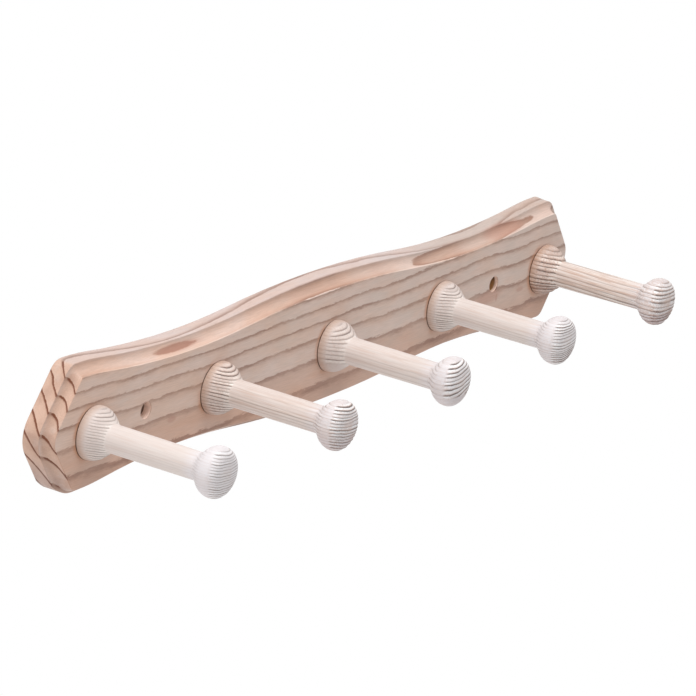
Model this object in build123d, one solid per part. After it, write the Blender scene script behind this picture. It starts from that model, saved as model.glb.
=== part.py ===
from build123d import *
import os
from math import atan, cos, degrees, radians, sin, sqrt

# Shaker peg rail: one moulded pine board that screws to a wall, and a row of turned pegs.
# Each peg has a tenon in a blind bore and is pulled home by a wood screw from the back.
#
# Millimetres. Every piece is drawn in the board's own frame: x to the right, y up and z out of
# the wall, with z = 0 on the back face. HUNG turns that frame so that +Z is up and the front
# faces -Y. The origin is the middle of the back face, halfway between the wall screw holes.
HUNG = Plane.XZ.location

# ---- board --------------------------------------------------------------------------------
board_length = 510.8          # nose to nose, on the back face
board_thickness = 16.0
crest_height = 76.2           # whole width at its middle, before the bottom is trimmed
hollow_height = 63.8          # whole width at the two hollows, likewise
shoulder_height = 75.0        # whole width at the shoulders near the ends, likewise
hollow_x = 132.0              # from the middle to the bottom of each hollow
crest_share = 0.62            # share of the run from crest to hollow that bulges outwards
hollow_share = 0.77           # share of the run from hollow to shoulder that stays hollow
end_slope = 55.0              # degrees between the slanted end sides and the length
right_nose_rise = 3.5         # how far the right nose sits above the left one
face_nose_radius = 10.2       # the two end noses, on the front face
face_corner_radius = 3.2      # upper shoulder corners, on the front face
low_face_corner_radius = 7.0  # lower shoulder corners, on the front face
bottom_trim = 3.5             # what is sawn off along the bottom, below the front face's edge
low_back_corner_radius = 26.0 # lower corners, on the back face

# moulding along the whole edge
cove_radius = 6.0             # quarter hollow along the front edge
edge_flare = 0.8              # how far the back edge stands out past the lip of the cove
lip_round = 0.5
face_round = 0.4
back_round = 1.0
bottom_round = 0.6            # back edge along the trimmed bottom

# wall screw holes
wall_hole_inset = 85.4        # from the nose of the board to the middle of the hole
wall_hole_diameter = 5.0
counterbore_diameter = 9.5
counterbore_depth = 5.0

# ---- pegs ---------------------------------------------------------------------------------
peg_count = 5
left_margin = 39.3            # from the left nose to the middle of the first peg
right_margin = 31.5           # from the middle of the last peg to the right nose
row_drop = 1.4                # how far the row sits below the middle of the board

peg_length = 84.3             # from the board's face to the crown of the head
base_diameter = 29.2
rim_round = 0.5               # where the base meets the board
rim_height = 0.3              # straight side of the base, above that round
base_dome_radius = 11.0
base_cone_angle = 40.0        # degrees to the peg's axis
base_fillet = 3.0
shaft_base_diameter = 15.3
shaft_head_diameter = 15.0
neck_fillet = 5.0
neck_cone_angle = 45.0        # degrees to the peg's axis
head_diameter = 27.4
head_back_radius = 9.2
head_front_radius = 6.0
head_crown = 0.5              # how far the middle of the head stands past its rounded edge

tenon_diameter = 12.0
tenon_length = 9.5
tenon_chamfer = 0.8
tenon_side_clearance = 0.05   # all round
tenon_end_clearance = 0.5

# ---- peg screws ---------------------------------------------------------------------------
screw_length = 30.0
screw_diameter = 4.0
screw_head_diameter = 8.0
screw_head_edge = 0.3         # straight side of the countersunk head
screw_point_length = 4.5
screw_sink = 0.2              # how far the head lies below the back face
recess_width = 0.9
recess_span = 4.4
recess_depth = 1.6
recess_turn = 37.0            # degrees that each screw stops past the one before it
screw_clearance = 0.05        # all round, in the board and in the peg
screw_end_clearance = 1.0

# ---- worked out from the sizes above --------------------------------------------------------
moulding_width = edge_flare + cove_radius
corner_radius = face_corner_radius + moulding_width
low_corner_radius = low_face_corner_radius + moulding_width
nose_radius = face_nose_radius + moulding_width
peg_spacing = (board_length - left_margin - right_margin) / (peg_count - 1)
first_peg_x = left_margin - board_length / 2
peg_places = [Pos(first_peg_x + i * peg_spacing, -row_drop) for i in range(peg_count)]
wall_hole_places = [Pos(side * (board_length / 2 - wall_hole_inset), 0) for side in (-1, 1)]
cut_margin = 2.0              # how far a cut runs past what it cuts


def arc_about(centre, start, end):
    """The shorter arc from one point to another, round a centre."""
    middle = ((start + end) / 2 - centre).normalized() * (start - centre).length
    return ThreePointArc(start, centre + middle, end)


def turned(lines):
    """A solid of revolution from its closed half section: x is the radius, y runs along the axis."""
    return revolve(Plane.XZ * make_face(Curve() + lines), Axis.Z)


def drilled(diameter, bottom, top):
    """A round cut along z."""
    return Pos(0, 0, bottom) * Cylinder(diameter / 2, top - bottom, align=(Align.CENTER, Align.CENTER, Align.MIN))


# ---- board ----------------------------------------------------------------------------------
def bulge(centre, radius, start, end):
    """Edge around a centre inside the board, from one outward normal's angle to another's."""
    return CenterArc(centre, radius, start, end - start)


def hollow(centre, radius, start, end):
    """Edge around a centre outside the board, from one outward normal's angle to another's."""
    return CenterArc(centre, radius, start + 180, end - start)


def level_pair(run, rise, share):
    """Radii and turn of two tangent arcs that are level at both ends and cover a run and a rise."""
    turn = 2 * atan(rise / run)
    return share * run / sin(turn), (1 - share) * run / sin(turn), degrees(turn)


def outline_quarter(trim, shoulder_corner_radius, nose_rise):
    """The upper right quarter of an outline: tangent arcs from the crest to the tip of the nose."""
    crest_y = crest_height / 2 - trim
    hollow_y = hollow_height / 2 - trim
    shoulder_y = shoulder_height / 2 - trim
    side_normal = 90 - end_slope
    nose_x = board_length / 2 - nose_radius

    # the slanted side touches the nose and the corner: both lie one radius inside its line
    side_reach = nose_x * cos(radians(side_normal)) + nose_rise * sin(radians(side_normal)) + nose_radius
    corner_y = shoulder_y - shoulder_corner_radius
    corner_reach = side_reach - shoulder_corner_radius - corner_y * sin(radians(side_normal))
    corner_x = corner_reach / cos(radians(side_normal))

    crest_radius, fall_radius, fall_turn = level_pair(hollow_x, crest_y - hollow_y, crest_share)
    rise_run = corner_x - hollow_x
    rise_radius, shoulder_radius, rise_turn = level_pair(rise_run, shoulder_y - hollow_y, hollow_share)

    corner = bulge((corner_x, corner_y), shoulder_corner_radius, 90, side_normal)
    nose = bulge((nose_x, nose_rise), nose_radius, side_normal, 0)
    return [
        bulge((0, crest_y - crest_radius), crest_radius, 90, 90 - fall_turn),
        hollow((hollow_x, hollow_y + fall_radius), fall_radius, 90 - fall_turn, 90),
        hollow((hollow_x, hollow_y + rise_radius), rise_radius, 90, 90 + rise_turn),
        bulge((corner_x, shoulder_y - shoulder_radius), shoulder_radius, 90 + rise_turn, 90),
        corner,
        Line(corner @ 1, nose @ 0),
        nose,
    ]


def board_outline(trim, lower_corner_radius):
    """An outline of the board, from above its middle: the lower quarters are trimmed and rounder."""
    upper_right = outline_quarter(0, corner_radius, right_nose_rise)
    lower_right = outline_quarter(trim, lower_corner_radius, -right_nose_rise)
    lower_left = outline_quarter(trim, lower_corner_radius, 0)
    upper_left = outline_quarter(0, corner_radius, 0)
    return Wire(
        upper_right
        + [edge.mirror(Plane.XZ) for edge in lower_right]
        + [edge.mirror(Plane.XZ).mirror(Plane.YZ) for edge in lower_left]
        + [edge.mirror(Plane.YZ) for edge in upper_left])


def round_beside(hollow_centre, hollow_radius, radius, flat, inwards, along):
    """Centre of the round between a hollow arc and a straight face, tangent to both.

    flat is a point on the face, inwards its normal into the wood and along the way the face runs.
    """
    depth = (flat - hollow_centre).dot(inwards) + radius
    reach = sqrt((hollow_radius + radius) ** 2 - depth ** 2)
    return hollow_centre + inwards * depth + along * reach


def moulding_waste():
    """What the moulding takes away, as a section at the crest: x is outwards, y is out of the wall."""
    outwards = Vector(1, 0)
    forwards = Vector(0, 1)
    cove_centre = Vector(-edge_flare, board_thickness)
    face_centre = round_beside(cove_centre, cove_radius, face_round, cove_centre, -forwards, -outwards)
    lip_centre = round_beside(cove_centre, cove_radius, lip_round, cove_centre, -outwards, -forwards)

    # the edge below the lip is a long hollow arc, upright at the lip and flaring towards the back
    flare_top = lip_centre + outwards * lip_round
    flare_radius = (flare_top.Y ** 2 + edge_flare ** 2) / (2 * edge_flare)
    flare_centre = flare_top + outwards * flare_radius
    back_centre = round_beside(flare_centre, flare_radius, back_round, Vector(0, 0), forwards, -outwards)

    face_flat = face_centre + forwards * face_round
    face_foot = cove_centre + (face_centre - cove_centre).normalized() * cove_radius
    lip_foot = cove_centre + (lip_centre - cove_centre).normalized() * cove_radius
    flare_foot = flare_centre + (back_centre - flare_centre).normalized() * flare_radius
    back_flat = back_centre - forwards * back_round
    section = Curve() + [
        arc_about(back_centre, back_flat, flare_foot),
        arc_about(flare_centre, flare_foot, flare_top),
        arc_about(lip_centre, flare_top, lip_foot),
        arc_about(cove_centre, lip_foot, face_foot),
        arc_about(face_centre, face_foot, face_flat),
        Polyline(face_flat, (face_flat.X, board_thickness + cut_margin),
                 (cut_margin, board_thickness + cut_margin), (cut_margin, -cut_margin),
                 (back_flat.X, -cut_margin), back_flat),
    ]
    at_crest = Plane((0, crest_height / 2, 0), x_dir=(0, 1, 0), z_dir=(1, 0, 0))
    return at_crest * make_face(section)


def wall_screw_hole():
    """A through hole with a counterbore in the front face."""
    through = drilled(wall_hole_diameter, -cut_margin, board_thickness + cut_margin)
    counterbore_floor = board_thickness - counterbore_depth
    return through + drilled(counterbore_diameter, counterbore_floor, board_thickness + cut_margin)


def peg_bore():
    """A blind bore in the front face for the tenon."""
    floor = board_thickness - tenon_length - tenon_end_clearance
    return drilled(tenon_diameter + 2 * tenon_side_clearance, floor, board_thickness + cut_margin)


def backboard():
    sawn_outline = board_outline(bottom_trim, low_back_corner_radius)
    blank = extrude(make_face(sawn_outline), board_thickness, dir=(0, 0, 1))
    blank = fillet(blank.faces().sort_by(Axis.Z)[0].edges(), bottom_round)
    board = blank - sweep(moulding_waste(), path=board_outline(0, low_corner_radius))
    for place in wall_hole_places:
        board -= place * wall_screw_hole()
    for place in peg_places:
        board -= place * (peg_bore() + screw_hole())
    return board


# ---- pegs -----------------------------------------------------------------------------------
def base_lines(rim_top):
    """Dome, cone and fillet from the rim of the base to the foot of the shaft."""
    slope = Vector(cos(radians(base_cone_angle)), sin(radians(base_cone_angle)))
    dome_centre = rim_top - Vector(base_dome_radius, 0)
    dome_end = dome_centre + slope * base_dome_radius
    fillet_x = shaft_base_diameter / 2 + base_fillet
    fillet_y = dome_end.Y + (base_fillet - (fillet_x - dome_end.X) * slope.X) / slope.Y
    fillet_centre = Vector(fillet_x, fillet_y)
    cone_end = fillet_centre - slope * base_fillet
    shaft_foot = fillet_centre - Vector(base_fillet, 0)
    return [
        arc_about(dome_centre, rim_top, dome_end),
        Line(dome_end, cone_end),
        arc_about(fillet_centre, cone_end, shaft_foot),
    ], shaft_foot


def head_lines():
    """Fillet, cone, round back, round front and shallow crown, from the top of the shaft."""
    slope = Vector(cos(radians(neck_cone_angle)), -sin(radians(neck_cone_angle)))
    widest_y = peg_length - head_crown - head_front_radius
    widest = Vector(head_diameter / 2, widest_y)
    back_centre = widest - Vector(head_back_radius, 0)
    back_start = back_centre + slope * head_back_radius
    fillet_x = shaft_head_diameter / 2 + neck_fillet
    fillet_y = back_start.Y + ((fillet_x - back_start.X) * slope.X - neck_fillet) / -slope.Y
    fillet_centre = Vector(fillet_x, fillet_y)
    shaft_top = fillet_centre - Vector(neck_fillet, 0)
    cone_start = fillet_centre - slope * neck_fillet

    # the crown's arc is centred on the axis and runs tangent into the round front
    front_centre = widest - Vector(head_front_radius, 0)
    crown_reach = (front_centre.X ** 2 + head_crown ** 2) / (2 * head_crown)
    crown_radius = crown_reach + head_front_radius
    crown = Vector(0, peg_length)
    crown_centre = crown - Vector(0, crown_radius)
    crown_edge = front_centre + (front_centre - crown_centre).normalized() * head_front_radius
    return shaft_top, [
        arc_about(fillet_centre, shaft_top, cone_start),
        Line(cone_start, back_start),
        arc_about(back_centre, back_start, widest),
        arc_about(front_centre, widest, crown_edge),
        arc_about(crown_centre, crown_edge, crown),
    ], crown


def peg():
    """One turned peg, standing on the board's face."""
    tenon_radius = tenon_diameter / 2
    base_radius = base_diameter / 2
    tenon_end = Vector(0, -tenon_length)
    rim_foot = Vector(base_radius - rim_round, 0)
    rim_low = Vector(base_radius, rim_round)
    rim_top = rim_low + Vector(0, rim_height)
    base, shaft_foot = base_lines(rim_top)
    shaft_top, head, crown = head_lines()
    form = turned([
        Polyline(crown, tenon_end, (tenon_radius - tenon_chamfer, -tenon_length),
                 (tenon_radius, tenon_chamfer - tenon_length), (tenon_radius, 0), rim_foot),
        arc_about(Vector(base_radius - rim_round, rim_round), rim_foot, rim_low),
        Line(rim_low, rim_top),
        *base,
        Line(shaft_foot, shaft_top),
        *head,
    ])
    return Pos(0, 0, board_thickness) * form - screw_hole()


# ---- peg screws -----------------------------------------------------------------------------
def screw_body(clearance, top, end_points):
    """A countersunk head and a shank, with a clearance all round and the given end."""
    shank_radius = screw_diameter / 2 + clearance
    head_radius = screw_head_diameter / 2 + clearance
    head_side_end = screw_sink + screw_head_edge
    shank_start = head_side_end + head_radius - shank_radius
    return turned([Polyline(
        (0, top), (head_radius, top), (head_radius, head_side_end), (shank_radius, shank_start),
        *end_points, (0, top))])


def screw_hole():
    """The hole that one screw needs: countersink, clearance in the board and pilot in the peg."""
    end = screw_sink + screw_length + screw_end_clearance
    radius = screw_diameter / 2 + screw_clearance
    return screw_body(screw_clearance, -cut_margin, [(radius, end), (0, end)])


def peg_screw():
    """A countersunk wood screw, driven from the back, with a cross recess."""
    point = screw_sink + screw_length
    body = screw_body(0, screw_sink, [(screw_diameter / 2, point - screw_point_length), (0, point)])
    slot_height = recess_depth + cut_margin
    slot = Box(recess_span, recess_width, slot_height, align=(Align.CENTER, Align.CENTER, Align.MAX))
    recess_floor = Pos(0, 0, screw_sink + recess_depth)
    return body - recess_floor * slot - recess_floor * Rot(0, 0, 90) * slot


# ---- build ----------------------------------------------------------------------------------
os.makedirs("parts", exist_ok=True)


def write(name, piece):
    hung = HUNG * piece
    hung.label = name
    export_step(hung, f"parts/{name}.step")


write("backboard", backboard())
one_peg = peg()
one_screw = peg_screw()
for number, place in enumerate(peg_places, start=1):
    write(f"peg_{number}", place * one_peg)
    write(f"peg_screw_{number}", place * Rot(0, 0, number * recess_turn) * one_screw)
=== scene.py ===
"""Shaker peg rail: a bare pine board with a coved edge, five limed turned pegs and their screws.

Lengths are in metres in the frame and the properties, and in millimetres inside the wood shaders.
The rail hangs along X with its front facing -Y, so wood grain runs along X in the board and
along Y in the pegs.
"""

import math
from typing import NamedTuple

import bpy
import numpy as np
from bpy.props import FloatProperty, FloatVectorProperty, IntProperty, PointerProperty
from mathutils import Matrix, Vector


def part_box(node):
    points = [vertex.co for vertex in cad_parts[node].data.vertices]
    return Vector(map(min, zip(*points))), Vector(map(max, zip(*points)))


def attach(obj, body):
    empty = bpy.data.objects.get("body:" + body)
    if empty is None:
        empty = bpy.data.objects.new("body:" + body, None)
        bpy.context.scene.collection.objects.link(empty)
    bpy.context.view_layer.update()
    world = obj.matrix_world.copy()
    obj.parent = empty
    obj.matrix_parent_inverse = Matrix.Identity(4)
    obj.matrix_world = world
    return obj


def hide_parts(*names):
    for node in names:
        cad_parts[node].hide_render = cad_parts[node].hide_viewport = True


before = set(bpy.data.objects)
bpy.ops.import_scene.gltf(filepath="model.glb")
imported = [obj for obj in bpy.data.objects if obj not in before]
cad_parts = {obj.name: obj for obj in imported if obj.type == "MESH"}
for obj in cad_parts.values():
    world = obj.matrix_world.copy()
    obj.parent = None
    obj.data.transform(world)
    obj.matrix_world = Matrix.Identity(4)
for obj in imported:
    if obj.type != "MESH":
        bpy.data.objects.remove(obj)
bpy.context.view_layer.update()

bl_info = {
    "name": "Shaker Peg Rail",
    "version": (1, 0, 0),
    "blender": (4, 5, 0),
    "location": "View3D > Sidebar > Peg Rail",
    "description": "Finishes a peg rail: pine board, limed turned pegs, zinc screws and a studio",
    "category": "Object",
}

MM = 0.001
PEG_NODES = sorted(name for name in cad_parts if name.startswith("peg_") and "screw" not in name)
SCREW_NODES = sorted(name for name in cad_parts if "screw" in name)
BOARD_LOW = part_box("backboard")[0]
FIRST_PEG_LOW, FIRST_PEG_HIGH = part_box(PEG_NODES[0])
PEG_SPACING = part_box(PEG_NODES[1])[0].x - FIRST_PEG_LOW.x
WHITE = (1.0, 1.0, 1.0)

# Where the board's surfaces lie, in millimetres: its front face, the lip behind the cove along
# its edge, and its lowest edge.
COVE_REACH = 6.0
FACE_Y = BOARD_LOW.y / MM
LIP_Y = FACE_Y + COVE_REACH
BOTTOM_Z = BOARD_LOW.z / MM


# ---- growth rings of the board
# The rings are circles round a pith that lies behind and below the board, in millimetres from it.
# Each ring ends in a dark line at the radius given here, and they widen towards the pith.
PITH_Y = 66.1
PITH_Z = -55.8
RING_RADII = (57.0, 65.0, 73.5, 81.5, 89.3, 96.2, 103.0, 108.6, 114.0, 119.5, 125.0, 130.5)

# How far the rings climb along the board: (x, rise) in millimetres, between two corners.
DRIFT_LOW = (-260, -3)
DRIFT_HIGH = (260, 5)
RING_DRIFT = (
    (-260, 0.8), (-210, 0.3), (-180, -1.3), (-150, -1.1), (-110, -2.0), (-80, -1.2), (-30, -0.2),
    (0, 0.0), (35, 0.8), (50, 0.1), (100, 1.4), (130, 1.9), (165, 3.5), (198, 2.2), (213, 3.6), (260, 3.0),
)

# Burrs in the cove over the two hollows push a ring outwards, in millimetres: (place, reach, push).
BURRS = (
    ((-138.0, -11.8, 27.3), (70.0, 3.7, 3.7), 0.72),
    ((88.0, -14.5, 27.0), (25.0, 3.5, 3.5), 1.0),
    ((193.0, -13.0, 31.0), (22.0, 5.0, 5.0), 1.0),
)

# Reddish marks in the wood, in millimetres: (place, reach).
MARKS = (
    ((-140.0, -11.8, 27.2), (26.0, 3.2, 3.2)), ((180.0, -12.0, 30.0), (26.0, 6.0, 6.0)),
    ((-145.5, -16.0, -10.5), (5.0, 2.0, 2.2)), ((165.0, -16.0, -7.0), (17.0, 2.0, 5.0)),
    ((174.5, -16.0, -9.0), (1.4, 2.0, 3.0)), ((200.0, -16.0, -9.0), (5.0, 2.0, 2.0)),
)

# The wall screw holes in millimetres: how far under the face the painted light on their walls
# reaches, in the left one and in the right one, and where the painted shade and dirt in them end.
LIT_WALL_DEPTHS = (4.7, 2.4)
DARK_END_DEPTH = 7.0

# A place is in such a hole where it is this far from the pegs, and this near to the row's middle.
HOLE_FROM_PEGS = 20.0
HOLE_HEIGHT = 5.3
HOLE_REACH = 200.0

# Heights over the board along a peg, in millimetres, from where to where one part runs into the
# next: the foot into the base, the base into the shaft, and the shaft into the head.
FOOT_END = (2.0, 5.5)
BASE_END = (9.0, 13.5)
SHAFT_END = (58.0, 70.0)

# Lines are cut into a peg's head from the first height to the second.
HEAD_LINES_START = (56.0, 66.0)

# How many years have a boldness of their own, before it repeats, and its lowest and highest.
BOLD_YEARS = 97
BOLDNESS = (0.45, 1.45)

# Where the lamps stand, in metres, and how wide they are.
KEY_PLACE = (-0.45, -0.2, 2.05)
KEY_WIDTH = 1.3
FILL_PLACE = (-1.9, 0.1, -0.45)
FILL_WIDTH = 1.2


class PegTurning(NamedTuple):
    """How one peg's wood differs from the next one's, in millimetres and shares."""
    ring_width: float        # from one dark line to the next
    pith_across: float       # where the rings' centre lies, across and above the peg's axis
    pith_above: float
    first_line: float        # where the first line lies, above the axis
    plain_below: float       # no lines show under this height
    base_lines: float        # how strong the lines are on the base and on the head
    head_lines: float
    streak_strength: float   # how strong the lines and the bare streaks are on the shaft
    warmth: float            # how much bare pinkish wood shows through the lime


PEG_TURNINGS = (
    PegTurning(1.45, 3.0, 70.0, 9.0, -16.0, 0.75, 0.78, 0.35, 0.30),
    PegTurning(1.75, 9.0, 90.0, 9.4, -16.0, 1.12, 1.70, 0.80, 0.75),
    PegTurning(2.15, -12.0, 60.0, 9.8, -6.5, 0.72, 1.48, 0.65, 0.45),
    PegTurning(1.60, -4.0, 85.0, 9.6, -15.0, 0.84, 1.35, 0.60, 0.30),
    PegTurning(2.35, 4.0, 75.0, 10.2, -16.0, 1.55, 1.80, 1.45, 1.00),
)


# ---- shader wiring
def opaque(colour):
    """A plain colour with its alpha. Another node's output stays as it is."""
    return colour if isinstance(colour, bpy.types.NodeSocket) else (*colour, 1)


class Wiring:
    """Adds nodes to a tree. Any value may be a number, a vector, a colour or another node's output."""

    def __init__(self, tree):
        self.tree = tree

    def add(self, kind, inputs=None, **settings):
        node = self.tree.nodes.new(kind)
        for name, value in settings.items():
            setattr(node, name, value)
        for socket, value in (inputs or {}).items():
            if isinstance(value, bpy.types.NodeSocket):
                self.tree.links.new(value, node.inputs[socket])
            else:
                node.inputs[socket].default_value = value
        return node

    def math(self, operation, *values):
        return self.add("ShaderNodeMath", dict(enumerate(values)), operation=operation).outputs[0]

    def product(self, first, *others):
        for value in others:
            first = self.math("MULTIPLY", first, value)
        return first

    def vector(self, operation, *values):
        return self.add("ShaderNodeVectorMath", dict(enumerate(values)), operation=operation).outputs[0]

    def scaled(self, vector, x, y, z):
        return self.vector("MULTIPLY", vector, (x, y, z))

    def size(self, vector):
        return self.add("ShaderNodeVectorMath", {0: vector}, operation="LENGTH").outputs[1]

    def split(self, vector):
        return self.add("ShaderNodeSeparateXYZ", {0: vector}).outputs[:]

    def join(self, x, y, z):
        return self.add("ShaderNodeCombineXYZ", {0: x, 1: y, 2: z}).outputs[0]

    def noise(self, vector, scale=1.0, detail=2.0, roughness=0.5):
        inputs = {"Vector": vector, "Scale": scale, "Detail": detail, "Roughness": roughness}
        return self.add("ShaderNodeTexNoise", inputs).outputs["Fac"]

    def ramp(self, value, start, end, low=0.0, high=1.0, shape="SMOOTHSTEP"):
        inputs = {"Value": value, "From Min": start, "From Max": end, "To Min": low, "To Max": high}
        return self.add("ShaderNodeMapRange", inputs, interpolation_type=shape).outputs[0]

    def mix(self, factor, first, second, blend="MIX"):
        inputs = {0: factor, 6: opaque(first), 7: opaque(second)}
        return self.add("ShaderNodeMix", inputs, data_type="RGBA", blend_type=blend).outputs[2]

    def toned(self, colour, zone, tone):
        """The colour times a tone where the zone is 1, and as it was where the zone is 0."""
        return self.mix(1.0, colour, self.mix(zone, WHITE, tone), blend="MULTIPLY")

    def curve(self, value, points, low, high):
        """A smooth curve through (x, y) points, which lie between the corners low and high."""
        node = self.add("ShaderNodeFloatCurve")
        line = node.mapping.curves[0]
        width = high[0] - low[0]
        height = high[1] - low[1]
        spread = [((x - low[0]) / width, (y - low[1]) / height) for x, y in points]
        line.points[0].location = spread[0]
        line.points[1].location = spread[-1]
        for place in spread[1:-1]:
            line.points.new(*place)
        node.mapping.update()
        self.tree.links.new(self.ramp(value, low[0], high[0], shape="LINEAR"), node.inputs["Value"])
        return self.ramp(node.outputs[0], 0.0, 1.0, low[1], high[1], shape="LINEAR")


def shader_group(name, inputs, outputs):
    """A new node group with its wiring, its inputs' sockets and its output node."""
    tree = bpy.data.node_groups.new(name, "ShaderNodeTree")
    for label, kind, value in inputs:
        socket = tree.interface.new_socket(label, in_out="INPUT", socket_type=f"NodeSocket{kind}")
        if value is not None:
            socket.default_value = value
    for label, kind in outputs:
        tree.interface.new_socket(label, in_out="OUTPUT", socket_type=f"NodeSocket{kind}")
    wiring = Wiring(tree)
    start = wiring.add("NodeGroupInput")
    end = wiring.add("NodeGroupOutput")
    return wiring, start.outputs, end


def new_material(name):
    """An empty material, its wiring and its Principled shader."""
    material = bpy.data.materials.new(name)
    material.use_nodes = True
    return material, Wiring(material.node_tree), material.node_tree.nodes["Principled BSDF"]


def group_node(wiring, group, **values):
    """Places a node group and returns its outputs. Spaces in its sockets' names are written _."""
    inputs = {name.replace("_", " "): value for name, value in values.items()}
    return wiring.add("ShaderNodeGroup", inputs, node_tree=bpy.data.node_groups[group]).outputs


def millimetres(wiring, place):
    """The same place in millimetres."""
    return wiring.scaled(place, 1 / MM, 1 / MM, 1 / MM)


def set_surface(wiring, shader, colour, roughness, relief, depth, strength):
    """Gives a shader its colour and roughness, and bumps of a depth where the relief is 1."""
    bump = wiring.add("ShaderNodeBump", {"Height": relief, "Distance": depth, "Strength": strength})
    outputs = {"Base Color": colour, "Roughness": roughness, "Normal": bump.outputs["Normal"]}
    for name, output in outputs.items():
        wiring.tree.links.new(output, shader.inputs[name])


def growth_ring_group():
    """One year's growth, from its phase.

    The whole part of the phase counts years. The rest runs from 0, soft pale early wood, through
    hard late wood that darkens to a line just before 1. Late wood also stands proud of early wood.
    """
    wiring, given, end = shader_group(
        "growth_rings",
        [("Phase", "Float", 0.0), ("Early Color", "Color", None), ("Late Color", "Color", None),
         ("Line Color", "Color", None), ("Late Start", "Float", 0.3), ("Line Start", "Float", 0.9),
         ("Late Strength", "Float", 1.0), ("Line Strength", "Float", 1.0)],
        [("Color", "Color"), ("Height", "Float")])
    late_full = 0.88
    line_full = 0.93
    fall_start = 0.94
    year = wiring.math("FRACT", given["Phase"])
    fall = wiring.ramp(year, fall_start, 1.0, 1.0, 0.0)
    late = wiring.product(wiring.ramp(year, given["Late Start"], late_full), fall)
    line = wiring.math("POWER", wiring.ramp(year, given["Line Start"], line_full), 1.5)
    colour = given["Early Color"]
    colour = wiring.mix(wiring.product(late, given["Late Strength"]), colour, given["Late Color"])
    colour = wiring.mix(wiring.product(line, fall, given["Line Strength"]), colour, given["Line Color"])
    wiring.tree.links.new(colour, end.inputs["Color"])
    wiring.tree.links.new(late, end.inputs["Height"])


def fibre_group():
    """Wood fibres: two sizes of noise, drawn out along the first axis of the given vector."""
    wiring, given, end = shader_group(
        "wood_fibres",
        [("Vector", "Vector", None), ("Length", "Float", 14.0), ("Width", "Float", 0.45)],
        [("Fibre", "Float"), ("Pores", "Float")])
    x, y, z = wiring.split(given["Vector"])
    along = wiring.math("DIVIDE", x, given["Length"])
    across = wiring.math("DIVIDE", y, given["Width"])
    upwards = wiring.math("DIVIDE", z, given["Width"])
    drawn = wiring.join(along, across, upwards)
    fibre = wiring.noise(drawn, detail=3.0, roughness=0.6)
    pores = wiring.noise(wiring.scaled(drawn, 2.5, 2.2, 2.2), detail=2.0)
    wiring.tree.links.new(wiring.ramp(fibre, 0.25, 0.75), end.inputs["Fibre"])
    wiring.tree.links.new(wiring.ramp(pores, 0.3, 0.75), end.inputs["Pores"])


# ---- board
def nearness(wiring, place, centre, reach):
    """1 in the middle of an ellipsoid, falling evenly to 0 at its surface."""
    away = wiring.scaled(wiring.vector("SUBTRACT", place, centre), *(1 / size for size in reach))
    return wiring.ramp(wiring.size(away), 0.0, 1.0, 1.0, 0.0, shape="LINEAR")


def board_phase(wiring, place):
    """Which year's wood lies at a place, from its distance to the pith.

    The distance is the root of the squares across the board, after its drift along the length is
    taken off, plus a slow wave and a fine jagged one, which is larger on the front face. It falls
    a little behind the front face, more so near the left of the top edge, and in the burrs in the
    cove, where a year shows as a lens.
    """
    x, y, z = wiring.split(place)
    drift = wiring.curve(x, RING_DRIFT, DRIFT_LOW, DRIFT_HIGH)
    across = wiring.math("SUBTRACT", y, PITH_Y)
    upwards = wiring.math("SUBTRACT", wiring.math("SUBTRACT", z, drift), PITH_Z)
    radius = wiring.size(wiring.join(across, upwards, 0.0))
    slow = wiring.noise(wiring.scaled(place, 0.028, 0.05, 0.05), detail=1.5)
    jagged = wiring.noise(wiring.scaled(place, 0.13, 0.6, 0.6), detail=4.0, roughness=0.75)
    raggedness = wiring.ramp(y, FACE_Y + 0.1, FACE_Y + 1.0, 2.4, 0.85)
    for wave, height in ((slow, 0.4), (jagged, raggedness)):
        radius = wiring.math("MULTIPLY_ADD", wiring.math("SUBTRACT", wave, 0.5), height, radius)
    near_top = wiring.product(
        wiring.ramp(z, 26.0, 31.0), wiring.ramp(y, FACE_Y + 2.0, FACE_Y + 10.0),
        wiring.ramp(x, 60.0, 110.0, 1.45, 0.0))
    fall = wiring.math("ADD", near_top, wiring.ramp(y, FACE_Y + 0.5, FACE_Y + 3.0, 0.0, 0.45))
    radius = wiring.math("SUBTRACT", radius, fall)
    for centre, reach, push in BURRS:
        radius = wiring.math("MULTIPLY_ADD", nearness(wiring, place, centre, reach), -push, radius)
    rings = [(ring, year) for year, ring in enumerate(RING_RADII)]
    return wiring.curve(radius, rings, rings[0], rings[-1])


def board_zones(wiring, place, normal):
    """Where a place lies, each from 0 to 1.

    In the long coves, on the long edges behind their lip, low on the front face, on end grain,
    which faces along the board, and low on that.
    """
    y, z = wiring.split(place)[1:]
    end_grain = wiring.ramp(wiring.math("ABSOLUTE", wiring.split(normal)[0]), 0.1, 0.45)
    long_side = wiring.math("SUBTRACT", 1.0, end_grain)
    behind_lip = wiring.ramp(y, LIP_Y - 0.3, LIP_Y + 0.3)
    before_lip = wiring.math("SUBTRACT", long_side, behind_lip)
    cove = wiring.product(wiring.ramp(y, FACE_Y + 0.2, FACE_Y + 1.2), before_lip)
    edge = wiring.product(behind_lip, long_side)
    on_front = wiring.ramp(y, FACE_Y + 0.1, FACE_Y + 0.5, 1.0, 0.0)
    low_front = wiring.product(wiring.ramp(z, -18.0, -2.0, 1.0, 0.0), on_front)
    off_front = wiring.ramp(y, FACE_Y + 2.0, FACE_Y + 10.0, 0.4, 1.0)
    low_end = wiring.product(end_grain, wiring.ramp(z, -5.0, -25.0), off_front)
    return cove, edge, low_front, end_grain, low_end


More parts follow.
